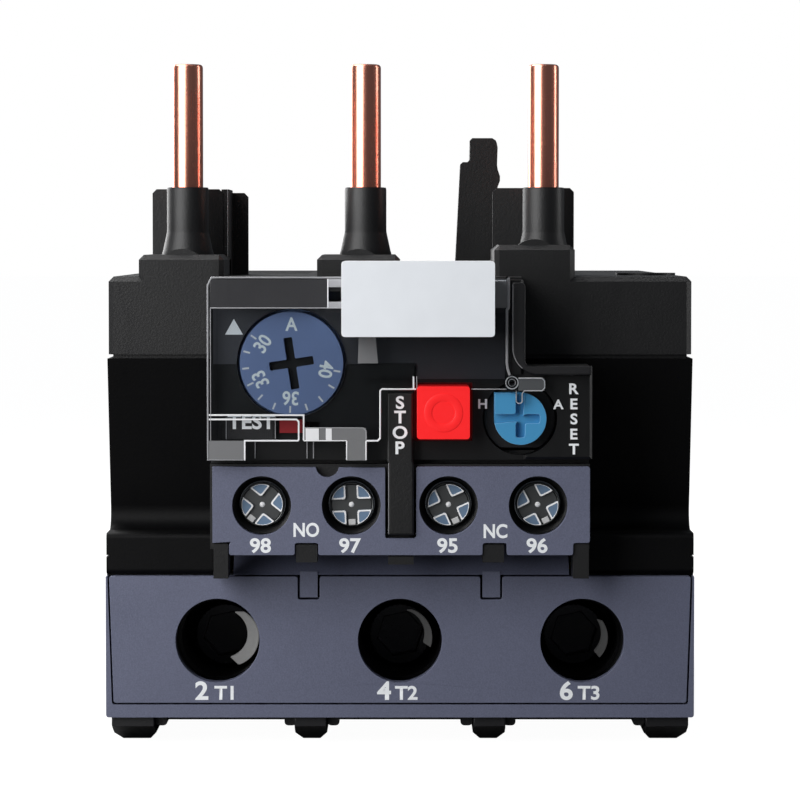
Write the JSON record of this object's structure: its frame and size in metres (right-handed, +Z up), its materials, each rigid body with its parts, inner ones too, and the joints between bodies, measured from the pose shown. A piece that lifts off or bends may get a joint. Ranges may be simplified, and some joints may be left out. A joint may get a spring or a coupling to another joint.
{
  "type": "thermal overload relay",
  "caption": "Plug-in motor overload relay: black moulded case with round copper pins on top, clear hinged cover over a setting dial, stop and reset controls, and screw terminals.",
  "frame": {"origin": "middle of the overall width and depth, at the underside of the feet", "axes": "+X to the right seen from the front, +Y from the front face to the rear, +Z up towards the contact pins"},
  "size_m": [0.07, 0.109, 0.0816],
  "materials": {
    "black_plastic": "fine moulded texture",
    "grey_plastic": "fine moulded texture",
    "dial_plastic": "smooth moulded",
    "red_plastic": "smooth moulded",
    "blue_plastic": "smooth moulded",
    "inner_plastic": "smooth moulded",
    "clear_plastic": "polished clear",
    "white_plastic": "satin",
    "copper": "polished bare copper",
    "busbar_brass": "stamped",
    "zinc_steel": "bright zinc plated",
    "spring_steel": "drawn wire",
    "heater_alloy": "rolled resistance ribbon",
    "bimetal_strip": "rolled strip"
  },
  "bodies": {
    "relay": {"main_housing": "black_plastic", "rear_cover": "black_plastic", "upper_shell": "black_plastic", "foot_grid": "black_plastic", "mounting_hook": "black_plastic", "aux_block": "black_plastic", "stop_guide_bar": "black_plastic", "control_housing": "black_plastic", "control_fascia": "black_plastic", "terminal_plate": "grey_plastic", "terminal_frame": "grey_plastic", "aux_lock_strip": "grey_plastic", "aux_cover": "grey_plastic", "contact_pin_1": "copper", "contact_pin_2": "copper", "contact_pin_3": "copper", "load_busbar_1": "busbar_brass", "load_busbar_2": "busbar_brass", "load_busbar_3": "busbar_brass", "aux_contact_98": "busbar_brass", "aux_contact_97": "busbar_brass", "aux_contact_95": "busbar_brass", "aux_contact_96": "busbar_brass", "stop_spring": "spring_steel", "reset_spring": "spring_steel", "cover_hinge_pin": "spring_steel", "lever_pin": "spring_steel", "heater_1": "heater_alloy", "heater_2": "heater_alloy", "heater_3": "heater_alloy", "bimetal_1": "bimetal_strip", "bimetal_2": "bimetal_strip", "bimetal_3": "bimetal_strip"},
    "cover": {"clear_cover": "clear_plastic", "label_plate": "white_plastic"},
    "dial": {"current_dial": "dial_plastic"},
    "stop": {"stop_button": "red_plastic"},
    "reset": {"reset_plunger": "inner_plastic"},
    "reset_cap": {"reset_knob": "blue_plastic"},
    "test": {"test_lever": "red_plastic"},
    "slider": {"trip_slider": "inner_plastic"},
    "lever": {"trip_lever": "inner_plastic"},
    "bridge": {"contact_bridge": "inner_plastic", "blade_no": "busbar_brass", "blade_nc": "busbar_brass"},
    "terminal_screw_1": {"main_screw_1": "zinc_steel"},
    "cage_1": {"main_cage_1": "zinc_steel"},
    "terminal_screw_2": {"main_screw_2": "zinc_steel"},
    "cage_2": {"main_cage_2": "zinc_steel"},
    "terminal_screw_3": {"main_screw_3": "zinc_steel"},
    "cage_3": {"main_cage_3": "zinc_steel"},
    "clamp_98": {"aux_clamp_98": "zinc_steel"},
    "clamp_screw_98": {"aux_screw_98": "zinc_steel"},
    "clamp_97": {"aux_clamp_97": "zinc_steel"},
    "clamp_screw_97": {"aux_screw_97": "zinc_steel"},
    "clamp_95": {"aux_clamp_95": "zinc_steel"},
    "clamp_screw_95": {"aux_screw_95": "zinc_steel"},
    "clamp_96": {"aux_clamp_96": "zinc_steel"},
    "clamp_screw_96": {"aux_screw_96": "zinc_steel"}
  },
  "joints": [
    {"name": "cover_hinge", "type": "hinge", "parent": "relay", "child": "cover", "pos_m": [0, -0.0494, 0.0551], "axis": [-1, 0, 0], "range_deg": [0, 90]},
    {"name": "dial_turn", "type": "hinge", "parent": "relay", "child": "dial", "pos_m": [-0.0127, -0.0485, 0.04584], "axis": [0, 1, 0], "range_deg": [0, 205]},
    {"name": "stop_press", "type": "slide", "parent": "relay", "child": "stop", "axis": [0, 1, 0], "range_m": [0, 0.0025], "stiffness_N_per_m": 200, "springref_m": -0.001, "deforming": ["stop_spring"]},
    {"name": "reset_press", "type": "slide", "parent": "relay", "child": "reset", "axis": [0, 1, 0], "range_m": [0, 0.0025], "stiffness_N_per_m": 200, "springref_m": -0.001, "deforming": ["reset_spring"]},
    {"name": "reset_mode_turn", "type": "hinge", "parent": "reset", "child": "reset_cap", "pos_m": [0.01405, -0.05, 0.03941], "axis": [0, 1, 0], "range_deg": [0, 90]},
    {"name": "test_slide", "type": "slide", "parent": "relay", "child": "test", "axis": [1, 0, 0], "range_m": [0, 0.0015], "stiffness_N_per_m": 150, "springref_m": -0.001},
    {"name": "trip_travel", "type": "slide", "parent": "relay", "child": "slider", "axis": [1, 0, 0], "range_m": [0, 0.0012], "stiffness_N_per_m": 100, "springref_m": -0.0005},
    {"name": "trip_lever_turn", "type": "hinge", "parent": "relay", "child": "lever", "pos_m": [0.0265, 0.0035, 0.0495], "axis": [0, -1, 0], "range_deg": [0, 9.9]},
    {"name": "contact_bridge_travel", "type": "slide", "parent": "relay", "child": "bridge", "axis": [1, 0, 0], "range_m": [0, 0.0029]},
    {"name": "main_screw_1_turn", "type": "hinge", "parent": "relay", "child": "terminal_screw_1", "pos_m": [-0.0217, -0.0199, 0.0111], "axis": [0, 1, 0], "range_deg": [0, 1296.5]},
    {"name": "main_cage_1_clamp", "type": "slide", "parent": "relay", "child": "cage_1", "axis": [0, -1, 0], "range_m": [0, 0.0045]},
    {"name": "main_screw_2_turn", "type": "hinge", "parent": "relay", "child": "terminal_screw_2", "pos_m": [0, -0.0199, 0.0111], "axis": [0, 1, 0], "range_deg": [0, 1296.5]},
    {"name": "main_cage_2_clamp", "type": "slide", "parent": "relay", "child": "cage_2", "axis": [0, -1, 0], "range_m": [0, 0.0045]},
    {"name": "main_screw_3_turn", "type": "hinge", "parent": "relay", "child": "terminal_screw_3", "pos_m": [0.0217, -0.0199, 0.0111], "axis": [0, 1, 0], "range_deg": [0, 1296.5]},
    {"name": "main_cage_3_clamp", "type": "slide", "parent": "relay", "child": "cage_3", "axis": [0, -1, 0], "range_m": [0, 0.0045]},
    {"name": "aux_clamp_98_slide", "type": "slide", "parent": "relay", "child": "clamp_98", "axis": [0, 1, 0], "range_m": [0, 0.0022]},
    {"name": "aux_screw_98_turn", "type": "hinge", "parent": "clamp_98", "child": "clamp_screw_98", "pos_m": [-0.0162, -0.04725, 0.02918], "axis": [0, 1, 0], "range_deg": [0, 1584.5]},
    {"name": "aux_clamp_97_slide", "type": "slide", "parent": "relay", "child": "clamp_97", "axis": [0, 1, 0], "range_m": [0, 0.0022]},
    {"name": "aux_screw_97_turn", "type": "hinge", "parent": "clamp_97", "child": "clamp_screw_97", "pos_m": [-0.0057, -0.04725, 0.02918], "axis": [0, 1, 0], "range_deg": [0, 1584.5]},
    {"name": "aux_clamp_95_slide", "type": "slide", "parent": "relay", "child": "clamp_95", "axis": [0, 1, 0], "range_m": [0, 0.0022]},
    {"name": "aux_screw_95_turn", "type": "hinge", "parent": "clamp_95", "child": "clamp_screw_95", "pos_m": [0.0057, -0.04725, 0.02918], "axis": [0, 1, 0], "range_deg": [0, 1584.5]},
    {"name": "aux_clamp_96_slide", "type": "slide", "parent": "relay", "child": "clamp_96", "axis": [0, 1, 0], "range_m": [0, 0.0022]},
    {"name": "aux_screw_96_turn", "type": "hinge", "parent": "clamp_96", "child": "clamp_screw_96", "pos_m": [0.0162, -0.04725, 0.02918], "axis": [0, 1, 0], "range_deg": [0, 1584.5]}
  ],
  "couplings": [
    {"joint": "trip_lever_turn", "follows": "trip_travel", "rad_per_m": 143.8},
    {"joint": "contact_bridge_travel", "follows": "trip_travel", "ratio": 2.4},
    {"joint": "main_screw_1_turn", "follows": "main_cage_1_clamp", "rad_per_m": 5026.5},
    {"joint": "main_screw_2_turn", "follows": "main_cage_2_clamp", "rad_per_m": 5026.5},
    {"joint": "main_screw_3_turn", "follows": "main_cage_3_clamp", "rad_per_m": 5026.5},
    {"joint": "aux_screw_98_turn", "follows": "aux_clamp_98_slide", "rad_per_m": 12566},
    {"joint": "aux_screw_97_turn", "follows": "aux_clamp_97_slide", "rad_per_m": 12566},
    {"joint": "aux_screw_95_turn", "follows": "aux_clamp_95_slide", "rad_per_m": 12566},
    {"joint": "aux_screw_96_turn", "follows": "aux_clamp_96_slide", "rad_per_m": 12566}
  ]
}
